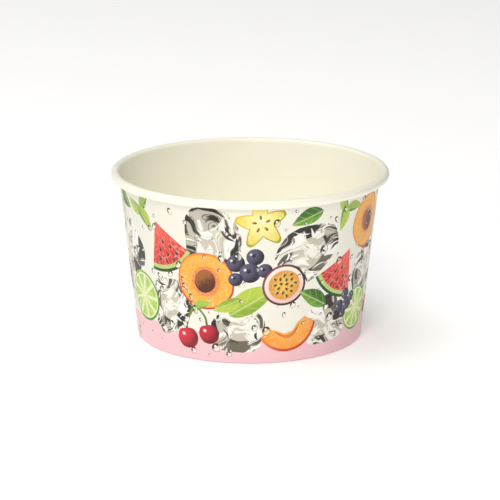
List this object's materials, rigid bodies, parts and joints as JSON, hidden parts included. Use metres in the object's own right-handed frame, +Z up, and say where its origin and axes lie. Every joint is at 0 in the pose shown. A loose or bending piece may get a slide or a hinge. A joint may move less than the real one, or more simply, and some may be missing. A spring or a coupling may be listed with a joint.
{
  "type": "paper dessert cup",
  "caption": "Round tapered paper cup with a rolled rim, a lapped side seam, a recessed floor disc held by a folded hem, and printed fruit over a plain pink band.",
  "frame": {"origin": "centre of the foot ring, on the ground the cup stands on", "axes": "+Z up along the cup's axis, -Y to the front of the picture, +X to its right"},
  "size_m": [0.0961, 0.096, 0.0586],
  "materials": {
    "wall_board": "coated white cup board, printed outside in many colours with a pink band at the foot, satin film inside",
    "floor_board": "plain coated white cup board, satin film on the upper side"
  },
  "bodies": {
    "root": {"side_wall": "wall_board", "base_disc": "floor_board"}
  },
  "joints": []
}
